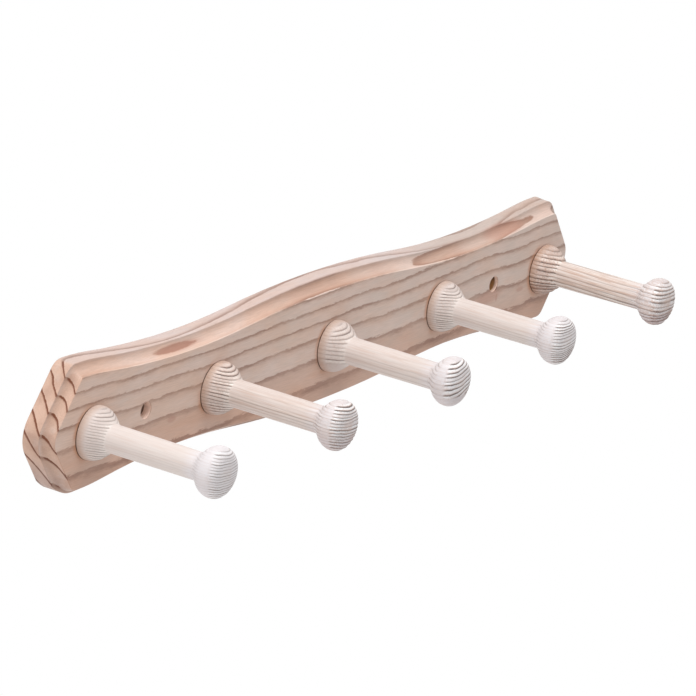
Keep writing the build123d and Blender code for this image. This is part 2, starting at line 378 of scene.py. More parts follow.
def peg_distance(wiring, place):
    """Millimetres from a place to the axis of the nearest peg: all told, and sideways.

    The sideways distance is what whole numbers of the pegs' spacing leave, as if the row had no
    ends, and the whole one is the root of the squares sideways and upwards.
    """
    x, _, z = wiring.split(place)
    first_peg = (FIRST_PEG_LOW + FIRST_PEG_HIGH) / 2 / MM
    spacing = PEG_SPACING / MM
    turns = wiring.math("DIVIDE", wiring.math("SUBTRACT", x, first_peg.x), spacing)
    beside = wiring.product(wiring.math("SUBTRACT", turns, wiring.math("ROUND", turns)), spacing)
    above = wiring.math("SUBTRACT", z, first_peg.z)
    return wiring.size(wiring.join(beside, 0.0, above)), beside


def board_wood(wiring, wood, place, end_grain):
    """The colours of early and late wood, each with slow patches of warmer and of greyer wood."""
    x = wiring.split(place)[0]
    warm = wiring.noise(wiring.scaled(place, 0.03, 0.09, 0.09), detail=3.0)
    warm = wiring.math("ADD", warm, wiring.ramp(x, -230.0, 120.0, 0.1, -0.08))
    ashen = wiring.noise(wiring.scaled(place, 0.02, 0.07, 0.07), scale=1.7, detail=2.0)
    ashen = wiring.math("ADD", ashen, wiring.ramp(x, -150.0, 150.0, -0.1, 0.1))
    early = wiring.mix(end_grain, wood.early_colour, wood.end_colour)
    late = wood.late_colour
    for patches, fullest, tone in (
            (wiring.ramp(warm, 0.35, 0.7), 0.6, wood.warm_colour),
            (wiring.ramp(ashen, 0.45, 0.75), 0.45, wood.ashen_colour)):
        early = wiring.mix(wiring.product(patches, fullest), early, tone)
        late = wiring.mix(wiring.product(patches, fullest / 2), late, tone)
    return early, late


def painted_light_round_pegs(wiring, wood, place, colour, away, beside):
    """On the front face round each peg, mostly on its left: painted warm reflected light in
    blotches, and a dark rim of painted shadow with some grime.
    """
    base = (FIRST_PEG_HIGH.x - FIRST_PEG_LOW.x) / 2 / MM
    on_face = wiring.ramp(wiring.split(place)[1], FACE_Y + 0.1, FACE_Y + 0.4, 1.0, 0.0)
    on_left = wiring.ramp(beside, -12.0, 0.0, 1.0, 0.1)
    blotchy = wiring.ramp(wiring.noise(place, scale=0.09, detail=2.0), 0.35, 0.6)
    # Painted reflected light: a warm blotchy tint where light thrown off the peg falls on the board.
    reflected_light = wiring.ramp(away, base, base + 4.0, 0.75, 0.0)
    colour = wiring.mix(wiring.product(reflected_light, on_face, blotchy, on_left), colour, wood.reflected_light_colour)
    # Painted shadow, with some grime: a dark rim in the gap where the peg's base meets the board.
    rim = wiring.ramp(away, base + 0.05, base + 0.6, 0.8, 0.0)
    return wiring.mix(wiring.product(rim, on_face, on_left), colour, wood.shade_and_grime_colour)


def wall_screw_holes(wiring, wood, place, colour, away):
    """Painted light on the walls of the wall screw holes, and painted shade and dirt in their depth."""
    x, y, z = wiring.split(place)
    bored = wiring.product(
        wiring.ramp(away, HOLE_FROM_PEGS, HOLE_FROM_PEGS + 1.0),
        wiring.ramp(wiring.math("ABSOLUTE", z), HOLE_HEIGHT, HOLE_HEIGHT + 0.3, 1.0, 0.0),
        wiring.ramp(wiring.math("ABSOLUTE", x), HOLE_REACH, HOLE_REACH + 1.0, 1.0, 0.0))
    off_back = wiring.ramp(y, -1.5, -0.5, 1.0, 0.0)
    # Painted light: the walls are made paler against the shade that falls in the holes.
    wall = wiring.product(wiring.ramp(y, FACE_Y + 0.1, FACE_Y + 0.6), off_back, bored)
    colour = wiring.mix(wall, colour, wood.painted_wall_light_colour)
    lit_end = wiring.ramp(x, -1.0, 1.0, *(FACE_Y + depth for depth in LIT_WALL_DEPTHS))
    below = wiring.ramp(wiring.math("SUBTRACT", y, lit_end), -0.4, 0.4)
    dark_end = FACE_Y + DARK_END_DEPTH
    above = wiring.ramp(y, dark_end - 0.5, dark_end + 0.5, 1.0, 0.0)
    # Painted shade with some dirt in the depth: near black, and low in the right hole wood in shade.
    on_right = wiring.ramp(x, -1.0, 1.0)
    shaded_wood = wiring.product(on_right, wiring.ramp(z, -1.5, 2.5, 1.0, 0.2))
    shade_and_grime = wiring.mix(shaded_wood, wood.shade_and_grime_colour, wood.hole_shade_colour)
    return wiring.mix(wiring.product(bored, below, above, wood.hole_shade_and_dirt), colour, shade_and_grime)


def board_material(wood):
    """Bare pine: growth rings and fibres, then each zone's tone, partly painted shade, the marks,
    and painted light and shade, with some grime, round the pegs and in the holes.
    """
    material, wiring, shader = new_material("bare_pine_board")
    coordinates = wiring.add("ShaderNodeTexCoord").outputs
    place = millimetres(wiring, coordinates["Object"])
    x, _, z = wiring.split(place)
    cove, edge, low_front, end_grain, low_end = board_zones(wiring, place, coordinates["Normal"])
    early, late = board_wood(wiring, wood, place, end_grain)

    patchy = wiring.noise(wiring.scaled(place, 0.03, 0.2, 0.2), detail=2.0)
    patchy = wiring.ramp(patchy, 0.3, 0.7, 0.33, 0.58)
    bold = wiring.product(end_grain, wiring.ramp(z, BOTTOM_Z + 3.0, BOTTOM_Z + 9.0, 0.0, 1.5))
    late_strength = wiring.math("MAXIMUM", wiring.product(cove, 0.9), end_grain)
    late_start = wiring.math(
        "MINIMUM", wiring.ramp(z, -15.0, 8.0, 0.2, 0.5), wiring.ramp(cove, 0.0, 1.0, 0.5, 0.15))
    ring = group_node(
        wiring, "growth_rings", Phase=board_phase(wiring, place), Early_Color=early, Late_Color=late,
        Line_Color=opaque(wood.line_colour), Late_Start=late_start,
        Line_Start=wiring.ramp(end_grain, 0.0, 1.0, 0.66, 0.74),
        Late_Strength=wiring.ramp(late_strength, 0.0, 1.0, 0.55, 1.0),
        Line_Strength=wiring.math("MAXIMUM", patchy, bold))
    fibre = group_node(wiring, "wood_fibres", Vector=place, Length=11.0, Width=0.5)
    shade = wiring.ramp(fibre["Fibre"], 0.0, 1.0, 0.90, 1.05, shape="LINEAR")
    colour = wiring.mix(1.0, ring["Color"], wiring.join(shade, shade, shade), blend="MULTIPLY")

    right_edge = wiring.product(edge, wiring.ramp(x, 60.0, 150.0))
    # Each zone's tone. Those of the coves, the long edges and the low front and ends are partly or wholly
    # painted shade, the edges' also a painted sheen; the right edge's is the wood's own.
    for zone, tone in (
            (cove, wood.cove_tone_and_shade), (edge, wood.edge_tone_shade_and_sheen), (right_edge, wood.right_edge_tone),
            (low_front, wood.low_front_shade_tone), (low_end, wood.low_end_shade_tone)):
        colour = wiring.toned(colour, zone, tone)
    for centre, reach in MARKS:
        mark = wiring.ramp(nearness(wiring, place, centre, reach), 0.0, 0.5, 0.0, 0.45)
        colour = wiring.mix(mark, colour, wood.mark_colour)
    away, beside = peg_distance(wiring, place)
    # Painted light and shade round the pegs, and in the wall screw holes.
    colour = painted_light_round_pegs(wiring, wood, place, colour, away, beside)
    colour = wall_screw_holes(wiring, wood, place, colour, away)

    roughness = wiring.ramp(ring["Height"], 0.0, 1.0, wood.roughness, wood.roughness - 0.08)
    relief = wiring.math("MULTIPLY_ADD", fibre["Pores"], 0.25, ring["Height"])
    set_surface(wiring, shader, colour, roughness, relief, wood.relief, 0.6)
    return material


# ---- pegs
def arc(centre, radius, start, end, step):
    """Points on a circle, short of its end: the centre plus the radius times cosine and sine."""
    count = max(2, math.ceil(radius * abs(end - start) / step))
    turn = np.linspace(start, end, count, endpoint=False)
    return np.stack([centre[0] + radius * np.cos(turn), centre[1] + radius * np.sin(turn)], axis=1)


def straight(start, end, step):
    """Evenly spaced points from one place to another, short of the last."""
    count = max(1, math.ceil(math.dist(start, end) / step))
    share = np.linspace(0, 1, count, endpoint=False)[:, None]
    return np.asarray(start) * (1 - share) + np.asarray(end) * share


def peg_axis(node):
    """Where a peg's axis meets the board's face."""
    low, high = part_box(node)
    return (low.x + high.x) / 2, BOARD_LOW.y, (low.z + high.z) / 2


def base_section(shape):
    """Half the base's section, from the tenon to the shaft, and where the shaft starts.

    Dome, cone and fillet run tangent to each other above a rounded rim.
    """
    fine = shape.fine_step
    radius = shape.base_diameter / 2
    rim_inside = radius - shape.rim_round
    rim_top = shape.rim_round + shape.rim_height
    cone = shape.base_cone_angle
    slope = np.array([math.cos(cone), math.sin(cone)])
    dome_centre = np.array([radius - shape.dome_radius, rim_top])
    dome_end = dome_centre + slope * shape.dome_radius
    fillet_r = shape.shaft_base_diameter / 2 + shape.base_fillet
    fillet_s = dome_end[1] + (shape.base_fillet - (fillet_r - dome_end[0]) * slope[0]) / slope[1]
    fillet = np.array([fillet_r, fillet_s])
    cone_end = fillet - slope * shape.base_fillet
    return [
        straight((shape.tenon_radius, 0), (rim_inside, 0), shape.shaft_step)[1:],
        arc((rim_inside, shape.rim_round), shape.rim_round, -math.pi / 2, 0, fine / 2),
        straight((radius, shape.rim_round), (radius, rim_top), fine),
        arc(dome_centre, shape.dome_radius, 0, cone, fine),
        straight(dome_end, cone_end, fine),
        arc(fillet, shape.base_fillet, math.pi + cone, math.pi, fine),
    ], fillet - (shape.base_fillet, 0)


def head_section(shape):
    """Half the head's section, from the shaft to the crown, and where the shaft ends.

    Fillet, cone, round back, round front and shallow crown run tangent to each other.
    """
    fine = shape.fine_step
    neck = shape.neck_cone_angle
    slope = np.array([math.cos(neck), -math.sin(neck)])
    widest_s = shape.peg_length - shape.head_crown - shape.head_front_radius
    widest = np.array([shape.head_diameter / 2, widest_s])
    back_centre = widest - (shape.head_back_radius, 0)
    back_start = back_centre + slope * shape.head_back_radius
    fillet_r = shape.shaft_head_diameter / 2 + shape.neck_fillet
    fillet_s = back_start[1] + ((fillet_r - back_start[0]) * slope[0] - shape.neck_fillet) / -slope[1]
    fillet = np.array([fillet_r, fillet_s])
    cone_start = fillet - slope * shape.neck_fillet
    front_centre = widest - (shape.head_front_radius, 0)
    crown_reach = (front_centre[0] ** 2 + shape.head_crown ** 2) / (2 * shape.head_crown)
    crown_radius = crown_reach + shape.head_front_radius
    crown_centre = (0.0, shape.peg_length - crown_radius)
    crown_angle = math.atan2(front_centre[1] - crown_centre[1], front_centre[0])
    return [
        arc(fillet, shape.neck_fillet, math.pi, math.pi - neck, fine),
        straight(cone_start, back_start, fine),
        arc(back_centre, shape.head_back_radius, -neck, 0, fine),
        arc(front_centre, shape.head_front_radius, 0, crown_angle, fine),
        arc(crown_centre, crown_radius, crown_angle, math.pi / 2, fine),
        [(0.0, shape.peg_length)],
    ], fillet - (shape.neck_fillet, 0)


def peg_profile(shape):
    """The peg's half section as (radius, height over the board's face), from its bore to its crown."""
    bore_and_tenon = [
        (0.0, shape.screw_reach),
        (shape.screw_hole_radius, shape.screw_reach),
        (shape.screw_hole_radius, -shape.tenon_length),
        (shape.tenon_radius - shape.tenon_chamfer, -shape.tenon_length),
        (shape.tenon_radius, shape.tenon_chamfer - shape.tenon_length),
        (shape.tenon_radius, 0.0),
    ]
    base, shaft_start = base_section(shape)
    head, shaft_end = head_section(shape)
    shaft = straight(shaft_start, shaft_end, shape.shaft_step)
    return np.concatenate([bore_and_tenon, *base, shaft, *head])


def smooth_step(start, end, value):
    """0 before the start, 1 after the end, and a smooth S in between."""
    share = np.clip((value - start) / (end - start), 0, 1)
    return share * share * (3 - 2 * share)


def wander(places, lengths, random):
    """Smooth noise from -1 to 1: the mean of sine waves with random directions and starts."""
    waves = 7
    finest = 2.2
    stretch = 1.8
    total = np.zeros(len(places))
    for _ in range(waves):
        direction = random.normal(size=3) / np.asarray(lengths)
        total += np.sin(places @ direction * finest + random.uniform(0, 2 * math.pi))
    return np.clip(total / waves * stretch, -1, 1)


def tube_faces(rings, around):
    """Triangles and quads of a closed tube: a fan at each pole and a grid of quads between.

    Vertex 0 is the first pole, then the rings follow one by one, and the last vertex is the other.
    """
    here = np.arange(around)
    after = (here + 1) % around
    last = 1 + rings * around
    start = 1 + np.arange(rings - 1)[:, None] * around
    quads = np.stack([start + here, start + after, start + around + after, start + around + here], axis=-1)
    first_fan = np.stack([np.zeros_like(here), 1 + after, 1 + here], axis=-1)
    last_ring = last - around
    last_fan = np.stack([last_ring + here, last_ring + after, np.full_like(here, last)], axis=-1)
    return [*first_fan.tolist(), *quads.reshape(-1, 4).tolist(), *last_fan.tolist()]


def peg_rings(places, turning, random):
    """The phase of a peg's growth rings at each place, and how bold each place's year is.

    The phase is the distance to the pith over the ring width, from the first line on, plus noise.
    """
    across, _, upwards = places.T
    to_pith = np.hypot(across - turning.pith_across, upwards - turning.pith_above)
    start = math.hypot(turning.pith_across, turning.pith_above - turning.first_line)
    waves = 0.22 * wander(places, (9, 45, 9), random) + 0.05 * wander(places, (1.6, 14, 1.6), random)
    widths = 0.35 * wander(places, (40, 400, 5), random)
    phase = (to_pith - start) / turning.ring_width + waves + widths
    year = np.floor(phase).astype(int) % BOLD_YEARS
    return phase, random.uniform(*BOLDNESS, size=BOLD_YEARS)[year]


def peg_line_strength(places, angle, forward, turning, random):
    """How strong the lines are at each place: a patchy product of what follows.

    None show low on the peg under its plain height, or on top of the head. On the base they start
    past a plain rim, and on the head past a plain band that is wider on its left, both narrower
    on a warm peg. They grow stronger downwards. On the shaft they are faint, more so above.
    """
    _, along, upwards = places.T
    lined = 0.8 + 0.2 * wander(places, (8, 30, 8), random)
    lined = lined * smooth_step(turning.plain_below - 0.6, turning.plain_below + 0.6, upwards)
    on_head = smooth_step(*HEAD_LINES_START, along)
    plain_rim = 0.32 - 0.2 * turning.warmth
    on_base = turning.base_lines * smooth_step(plain_rim, plain_rim + 0.27, forward) * (1 - on_head)
    plain_side = (0.6 - 0.3 * turning.warmth) * np.clip(-np.cos(angle), 0, 1)
    head_front = smooth_step(plain_side - 0.1, plain_side + 0.25, forward)
    head_back = 0.35 * smooth_step(0.05, 0.6, -forward)
    head_lined = turning.head_lines * on_head * np.maximum(head_front, head_back)
    downwards = 1 + 0.8 * smooth_step(-2, 9, -upwards)
    on_shaft = 0.3 * turning.streak_strength * turning.base_lines
    on_shaft = on_shaft * (0.7 + 1.1 * smooth_step(4, -1, upwards))
    lined = lined * (1 - smooth_step(12.0, 13.0, upwards * on_head))
    return lined * np.maximum((on_base + head_lined) * downwards, on_shaft)


def turned_peg(number, node, shape, turning):
    """One peg as a surface of revolution whose outside is worn along its growth rings.

    A point is its profile's radius times cosine and sine of the turn, and its height along the
    peg. Each year rises slowly to its hard late wood and falls back at the line, and the surface
    is cut by the relief's depth times what is left of that rise.
    """
    random = np.random.default_rng(number)
    profile = peg_profile(shape)
    inner = profile[1:-1]
    rings = len(inner)
    around = shape.points_around
    turn = np.linspace(0, 2 * math.pi, around, endpoint=False)
    tangent = np.gradient(inner, axis=0)
    tangent /= np.linalg.norm(tangent, axis=1)[:, None]
    outside = inner[:, 0] > shape.screw_hole_radius * 1.01

    def spread(values):
        """Repeats a value of each ring round it, and adds one for each pole."""
        return np.concatenate([values[:1], np.repeat(values, around), values[-1:]])

    radius = np.concatenate([[0], np.repeat(inner[:, 0], around), [0]])
    height = np.concatenate([profile[:1, 1], np.repeat(inner[:, 1], around), profile[-1:, 1]])
    angle = np.concatenate([[0], np.tile(turn, rings), [0]])
    outward = spread(tangent[:, 1])
    forward = spread(-tangent[:, 0])
    shown = spread(smooth_step(0.2 * MM, 1.5 * MM, inner[:, 1]) * outside)
    places = np.stack([radius * np.cos(angle), height, radius * np.sin(angle)], axis=1) / MM

    phase, boldness = peg_rings(places, turning, random)
    lined = peg_line_strength(places, angle, forward, turning, random)
    year = phase % 1.0
    rise = smooth_step(0.1, 0.85, year) * (1 - smooth_step(0.93, 1.0, year))
    cut = shape.relief * (1 - rise) * lined * shown
    radius = radius - cut * outward
    height = height - cut * forward

    mesh = bpy.data.meshes.new(node)
    x, y, z = peg_axis(node)
    points = np.stack([x + radius * np.cos(angle), y - height, z + radius * np.sin(angle)], axis=1)
    mesh.from_pydata(points.tolist(), [], tube_faces(rings, around))
    attributes = {"ring_phase": phase, "lined": lined * boldness, "along": places[:, 1]}
    for name, values in attributes.items():
        attribute = mesh.attributes.new(name, "FLOAT", "POINT")
        attribute.data.foreach_set("value", values.astype(np.float32))
    mesh.shade_smooth()
    mesh.validate()
    return mesh


def peg_material(name, wood, turning, axis):
    """Limed softwood: growth rings, bare streaks and patches, each part's tone, partly painted shade,
    and painted shadow with some grime at the foot.
    """
    material, wiring, shader = new_material(name)
    place = wiring.add("ShaderNodeTexCoord").outputs["Object"]
    place = millimetres(wiring, wiring.vector("SUBTRACT", place, axis))
    phase, strength, along = [
        wiring.add("ShaderNodeAttribute", attribute_name=label).outputs["Fac"]
        for label in ("ring_phase", "lined", "along")]
    x, y, z = wiring.split(place)
    grain = wiring.join(y, x, z)

    limed = Vector(wood.limed_colour)
    bare = Vector(wood.bare_colour)
    early = limed.lerp(bare, 0.25 * turning.warmth)
    late = limed.lerp(bare, 0.3 + 0.5 * turning.warmth)
    groove = Vector(wood.groove_colour).lerp(bare, 0.1 * turning.warmth)
    part_lined = wiring.product(strength, 0.7)
    early = wiring.mix(part_lined, early, wood.filled_colour)
    ring = group_node(
        wiring, "growth_rings", Phase=phase, Early_Color=early, Late_Color=opaque(late),
        Line_Color=opaque(groove), Late_Start=0.15, Line_Start=0.4, Late_Strength=part_lined,
        Line_Strength=strength)
    fibre = group_node(wiring, "wood_fibres", Vector=grain, Length=18.0, Width=0.5)
    streaks = wiring.ramp(fibre["Fibre"], 0.4, 0.9, 0.0, 0.6 * turning.streak_strength)
    colour = wiring.mix(streaks, ring["Color"], bare)
    patches = wiring.noise(wiring.scaled(grain, 0.03, 0.14, 0.14), detail=1.0)
    patches = wiring.ramp(patches, 0.4, 0.75, 0.0, 0.6 * turning.warmth)
    colour = wiring.mix(wiring.product(patches, wiring.ramp(z, 1.0, 6.0, 1.0, 0.1)), colour, bare)

    foot, base, shaft = [wiring.ramp(along, *ends, 1.0, 0.0) for ends in (FOOT_END, BASE_END, SHAFT_END)]
    # Painted shade: the base darker, more so on the warmest peg.
    base_shade_tone = Vector(wood.base_shade_tone) * Vector(WHITE).lerp(wood.warm_base_shade_tone, turning.warmth)
    # Painted shade: darker on the underside of the warmer pegs, most on the head.
    under = wiring.product(
        wiring.ramp(z, 0.0, -10.0, 0.0, turning.warmth ** 2), wiring.ramp(along, *SHAFT_END, 0.45, 1.0))
    for zone, tone in (
            (shaft, wood.shaft_tone), (base, base_shade_tone), (foot, wood.foot_tone), (under, wood.under_shade_tone)):
        colour = wiring.toned(colour, zone, tone)
    # Painted shadow, with some grime, at the peg's foot next to the board, mostly on its left.
    shade_and_grime = wiring.product(wiring.ramp(along, 0.05, 0.5, 0.7, 0.0), wiring.ramp(x, -12.0, 0.0, 1.0, 0.05))
    colour = wiring.mix(shade_and_grime, colour, wood.shade_and_grime_colour)

    roughness = wiring.ramp(fibre["Fibre"], 0.0, 1.0, wood.roughness, wood.roughness - 0.1)
    relief = wiring.math("MULTIPLY_ADD", fibre["Pores"], 0.2, wiring.product(ring["Height"], strength))
    set_surface(wiring, shader, colour, roughness, relief, wood.relief, 0.5)
    return material


# ---- screws
def zinc_material(plate):
    """Bright zinc plate: metal whose colour and roughness drift a little, with turned scratches."""
    material, wiring, shader = new_material("zinc_plate")
    place = millimetres(wiring, wiring.add("ShaderNodeTexCoord").outputs["Object"])
    drift = wiring.noise(place, scale=0.6, detail=3.0)
    scratches = wiring.noise(wiring.scaled(place, 1.0, 9.0, 1.0), scale=2.0, detail=4.0)
    tone = Vector(plate.colour)
    colour = wiring.mix(wiring.ramp(drift, 0.3, 0.7), tone, tone * 0.8)
    roughness = wiring.ramp(scratches, 0.3, 0.7, 0.25, 0.45)
    set_surface(wiring, shader, colour, roughness, scratches, 0.02 * MM, 0.4)
    shader.inputs["Metallic"].default_value = 1.0
    return material


def dress(piece, material):
    """Gives a piece its one material."""
    piece.data.materials.clear()
    piece.data.materials.append(material)


# ---- properties
def length(label, text, value):
    return FloatProperty(
        name=label, description=text, default=value, subtype="DISTANCE", unit="LENGTH", precision=5)


def paint(label, text, value):
    return FloatVectorProperty(
        name=label, description=text, default=value, subtype="COLOR", min=0.0, max=1.0)


def amount(label, text, value, unit="NONE"):
    return FloatProperty(name=label, description=text, default=value, unit=unit, precision=3)


def fraction(label, text, value):
    return FloatProperty(name=label, description=text, default=value, subtype="FACTOR", min=0.0, max=1.0)


def degrees(label, text, value):
    """An angle that is written in degrees and kept in radians."""
    return FloatProperty(
        name=label, description=text, default=math.radians(value), subtype="ANGLE", unit="ROTATION")


class PegRailBoard(bpy.types.PropertyGroup):
    early_colour: paint("Early wood", "Pale wood between the lines", (0.70, 0.545, 0.475))
    end_colour: paint("End grain", "Early wood where the board is cut across", (0.455, 0.28, 0.212))
    late_colour: paint("Late wood", "Darker wood below a line", (0.50, 0.305, 0.22))
    line_colour: paint("Line", "Dark line where a year's growth ends", (0.155, 0.042, 0.013))
    warm_colour: paint("Warm patches", "Slow patches of warmer wood", (0.68, 0.46, 0.35))
    ashen_colour: paint("Ashen patches", "Slow patches of greyer wood", (0.62, 0.52, 0.46))
    mark_colour: paint("Marks", "Reddish marks", (0.45, 0.22, 0.16))
    # Painted reflected light: warm blotches on the board beside each peg's foot.
    reflected_light_colour: paint("Stain", "Blotches round the pegs", (0.55, 0.26, 0.14))
    # Painted shade, with some grime: the rim round each peg's foot and the depth of the screw holes.
    shade_and_grime_colour: paint("Grime", "Dirt round the pegs and in the screw holes", (0.07, 0.03, 0.015))
    # Painted light on the walls of the wall screw holes.
    painted_wall_light_colour: paint("Hole walls", "Clean wood in the wall screw holes", (1.0, 0.76, 0.64))
    # Painted shade: the colour of wood in shade low in the depth of the right screw hole.
    hole_shade_colour: paint("Dust", "In the depth of the right screw hole", (0.48, 0.27, 0.11))
    # Partly the coves' own tone, partly painted shade for how the lamps light them.
    cove_tone_and_shade: paint("Cove tone", "Multiplies the colour of the coves", (0.93, 0.89, 0.87))
    # Partly the edges' own tone, partly painted light: darker under the lamp above, cooler for a sheen.
    edge_tone_shade_and_sheen: paint("Edge tone", "Multiplies the colour of the long edges", (0.82, 0.85, 0.91))
    right_edge_tone: paint("Right edge tone", "Multiplies it again at the right", (0.91, 0.88, 0.83))
    # Painted shade: warmer and darker low on the front face.
    low_front_shade_tone: paint("Low tone", "Multiplies the colour low on the front", (0.93, 0.81, 0.74))
    # Painted shade: greyer and bluer low on the ends.
    low_end_shade_tone: paint("Low end tone", "Multiplies the colour low on the ends", (0.83, 0.89, 0.99))
    # How much painted shade, with some dirt, lies in the depth of the screw holes.
    hole_shade_and_dirt: fraction("Dirt", "How much dirt lies in the screw holes", 0.95)
    roughness: fraction("Roughness", "Of the bare planed wood", 0.55)
    relief: length("Relief", "How far late wood stands proud", 0.08 * MM)


class PegRailPegs(bpy.types.PropertyGroup):
    peg_length: length("Length", "From the board's face to the crown", BOARD_LOW.y - FIRST_PEG_LOW.y)
    base_diameter: length("Base", "Diameter of the base", FIRST_PEG_HIGH.x - FIRST_PEG_LOW.x)
    rim_round: length("Rim round", "Round where the base meets the board", 0.5 * MM)
    rim_height: length("Rim height", "Straight side above that round", 0.3 * MM)
    dome_radius: length("Dome radius", "Of the base's section", 11 * MM)
    base_cone_angle: degrees("Base cone", "Between the base's cone and the axis", 40.0)
    base_fillet: length("Base fillet", "Where the base runs into the shaft", 3 * MM)
    shaft_base_diameter: length("Shaft at base", "Diameter", 15.3 * MM)
    shaft_head_diameter: length("Shaft at head", "Diameter", 15 * MM)
    neck_fillet: length("Neck fillet", "Where the shaft runs into the head", 5 * MM)
    neck_cone_angle: degrees("Neck cone", "Between the neck's cone and the axis", 45.0)
    head_diameter: length("Head", "Diameter of the head", 27.4 * MM)
    head_back_radius: length("Head back", "Radius of the round back", 9.2 * MM)
    head_front_radius: length("Head front", "Radius of the round front", 6 * MM)
    head_crown: length("Crown", "How far the middle of the head stands out", 0.5 * MM)
    tenon_radius: length("Tenon radius", "Of the tenon in the board", 6 * MM)
    tenon_length: length("Tenon length", "Into the board", FIRST_PEG_HIGH.y - BOARD_LOW.y)
    tenon_chamfer: length("Tenon chamfer", "At the tenon's end", 0.8 * MM)
    screw_hole_radius: length("Screw hole", "Radius of the screw's hole", 2.05 * MM)
    screw_reach: length("Screw hole reach", "How far the screw's hole runs past the face", 15.2 * MM)
    fine_step: length("Fine step", "Between points on the base and the head", 0.27 * MM)
    shaft_step: length("Shaft step", "Between points along the shaft", 1.3 * MM)
    points_around: IntProperty(
        name="Points around", description="Points in each ring of the surface", default=320, min=3)
    limed_colour: paint("Limed wood", "Wood under its lime wash", (0.70, 0.67, 0.69))
    filled_colour: paint("Filled wood", "Lime in the soft wood between two lines", (0.94, 0.94, 0.955))
    bare_colour: paint("Bare wood", "Wood where the wash has worn off", (0.56, 0.41, 0.35))
    groove_colour: paint("Grooves", "Dark lines of the growth rings", (0.10, 0.075, 0.07))
    # Painted shadow, with some grime, where the peg meets the board.
    shade_and_grime_colour: paint("Grime", "Dirt where the peg meets the board", (0.08, 0.04, 0.02))
    shaft_tone: paint("Shaft tone", "Multiplies the colour of the shaft and the base", (0.96, 0.90, 0.83))
    # Painted shade: darker on the base of each peg.
    base_shade_tone: paint("Base tone", "Multiplies the colour of the base again", (0.89, 0.88, 0.89))
    # Painted shade, again darker, on the warmest peg's base.
    warm_base_shade_tone: paint("Warm base tone", "Multiplies it again on the warmest peg", (0.94, 0.87, 0.83))
    # Painted shade: darker on the underside of the warmest peg.
    under_shade_tone: paint("Under tone", "Multiplies it low on the warmest peg", (0.80, 0.76, 0.79))
    foot_tone: paint("Foot tone", "Multiplies it again next to the board", (0.98, 0.90, 0.82))
    roughness: fraction("Roughness", "Of the limed wood", 0.6)
    relief: length("Relief", "Depth of the wear between hard rings", 0.14 * MM)


class PegRailScrews(bpy.types.PropertyGroup):
    colour: paint("Zinc", "Colour of the plate", (0.62, 0.62, 0.60))


class PegRailStudio(bpy.types.PropertyGroup):
    azimuth: degrees("Azimuth", "Camera's place round the rail, 0 in front of it", -58.1655)
    elevation: degrees("Elevation", "Camera's height over the horizon", 17.804)
    roll: degrees("Roll", "Camera's turn about its own line of sight", 6.1292)
    distance: length("Distance", "From the camera to the point that it looks at", 2.613468)
    look_at: FloatVectorProperty(
        name="Look at", description="Point in the middle of the view",
        default=(-0.098556, -0.089802, 0.038358), subtype="XYZ", unit="LENGTH", precision=5)
    lens: amount("Lens", "Focal length on a 36 mm sensor", 260.6, "CAMERA")
    floor_drop: length("Floor drop", "From the rail down to the floor", 0.9)
    floor_colour: paint("Floor", "Pale floor", (0.9, 0.9, 0.9))
    sky_strength: amount("Sky", "Strength of the even light from all round", 0.58)
    key_power: amount("Key light", "Power of the large soft lamp above", 39.0, "POWER")
    fill_power: amount("Fill light", "Power of the soft lamp low on the left", 9.0, "POWER")


# ---- operators
class PEGRAIL_OT_board(bpy.types.Operator):
    """Finish the backboard in bare planed pine"""
    bl_idname = "pegrail.board"
    bl_label = "Finish the board"

    def execute(self, context):
        material = board_material(context.scene.peg_rail_board)
        dress(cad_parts["backboard"], material)
        return {"FINISHED"}


class PEGRAIL_OT_pegs(bpy.types.Operator):
    """Turn the pegs, each from its own piece of limed wood"""
    bl_idname = "pegrail.pegs"
    bl_label = "Turn the pegs"

    def execute(self, context):
        shape = context.scene.peg_rail_pegs
        if len(PEG_NODES) != len(PEG_TURNINGS):
            raise RuntimeError(f"{len(PEG_NODES)} pegs, but {len(PEG_TURNINGS)} kinds of wood")
        for number, (node, turning) in enumerate(zip(PEG_NODES, PEG_TURNINGS), start=1):
            mesh = turned_peg(number, node, shape, turning)
            piece = bpy.data.objects.new(f"turned_{node}", mesh)
            context.scene.collection.objects.link(piece)
            material = peg_material(f"limed_wood_{number}", shape, turning, peg_axis(node))
            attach(piece, "root")
            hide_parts(node)
            dress(piece, material)
        return {"FINISHED"}


class PEGRAIL_OT_screws(bpy.types.Operator):
    """Plate the pegs' screws in bright zinc"""
    bl_idname = "pegrail.screws"
    bl_label = "Plate the screws"

    def execute(self, context):
        material = zinc_material(context.scene.peg_rail_screws)
        for node in SCREW_NODES:
            dress(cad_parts[node], material)
        return {"FINISHED"}


def seen_directly(wiring):
    """1 for the camera's own rays and for those that mirror or pass through, 0 for the rest."""
    rays = wiring.add("ShaderNodeLightPath").outputs
    seen = wiring.math("MAXIMUM", rays["Is Camera Ray"], rays["Is Glossy Ray"])
    return wiring.math("MAXIMUM", seen, rays["Is Transmission Ray"])


